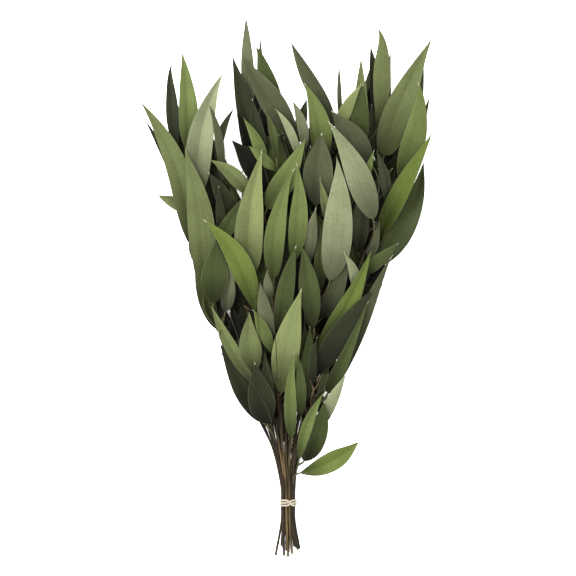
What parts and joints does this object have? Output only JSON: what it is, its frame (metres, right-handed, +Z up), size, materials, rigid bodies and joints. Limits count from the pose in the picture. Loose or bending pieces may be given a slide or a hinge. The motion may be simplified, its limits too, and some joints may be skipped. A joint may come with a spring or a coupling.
{
  "type": "eucalyptus bunch",
  "caption": "Tied bunch of preserved willow eucalyptus: cut woody stems with long lance-shaped green leaves, held near the cut ends by a cream elastic tie. It lies on a flat surface.",
  "frame": {"origin": "middle of the bunch's outline in X and Y, on the surface that it lies on", "axes": "+Y from the cut ends to the leaf tips, +Z up from the surface, +X to the right seen from above with the tips away from the viewer"},
  "size_m": [0.3256, 0.6012, 0.1162],
  "materials": {
    "foliage": "satin, preserved leaves",
    "elastic": "matt, covered elastic"
  },
  "bodies": {
    "root": {"stem_front_left": "foliage", "stem_front_middle": "foliage", "stem_front_right": "foliage", "stem_front_far_right": "foliage", "stem_left_outer": "foliage", "stem_left_inner": "foliage", "stem_middle": "foliage", "stem_right_inner": "foliage", "stem_right_outer": "foliage", "stem_back_left": "foliage", "stem_back_middle": "foliage", "stem_back_right": "foliage", "stem_back_far_right": "foliage", "tie": "elastic"}
  },
  "joints": []
}
